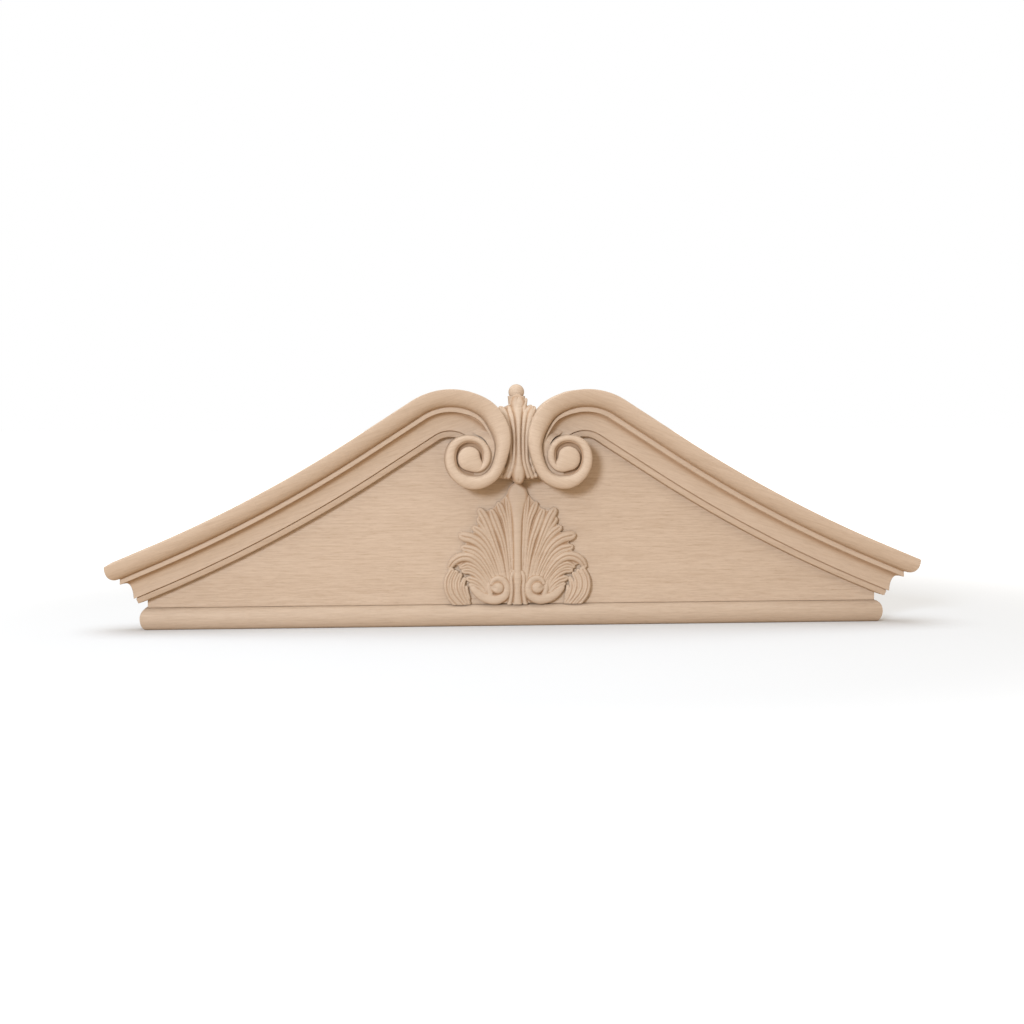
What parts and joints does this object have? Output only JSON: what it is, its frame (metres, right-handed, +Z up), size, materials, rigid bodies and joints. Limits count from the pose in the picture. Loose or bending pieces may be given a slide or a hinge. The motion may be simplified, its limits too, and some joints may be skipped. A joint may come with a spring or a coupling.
{
  "type": "door pediment",
  "caption": "Swan-neck door pediment in plain wood: a flat board with raking crown mouldings that end in volutes, a carved finial between them, a carved shell below and a nosed base rail.",
  "frame": {"origin": "middle of the board's back face, 150 mm above the underside of the base rail, on the wall plane", "axes": "+X to the right seen from the front, +Y into the wall, +Z up; the carved front faces -Y"},
  "size_m": [1.2, 0.08, 0.36],
  "materials": {
    "board_wood": "planed, unfinished, fine level grain",
    "moulding_wood": "moulded and sanded, unfinished",
    "carved_wood": "carved, unfinished"
  },
  "bodies": {
    "root": {"tympanum_board": "board_wood", "base_rail": "board_wood", "crown_right": "moulding_wood", "crown_left": "moulding_wood", "return_right": "moulding_wood", "return_left": "moulding_wood", "finial": "carved_wood", "shell": "carved_wood"}
  },
  "joints": []
}
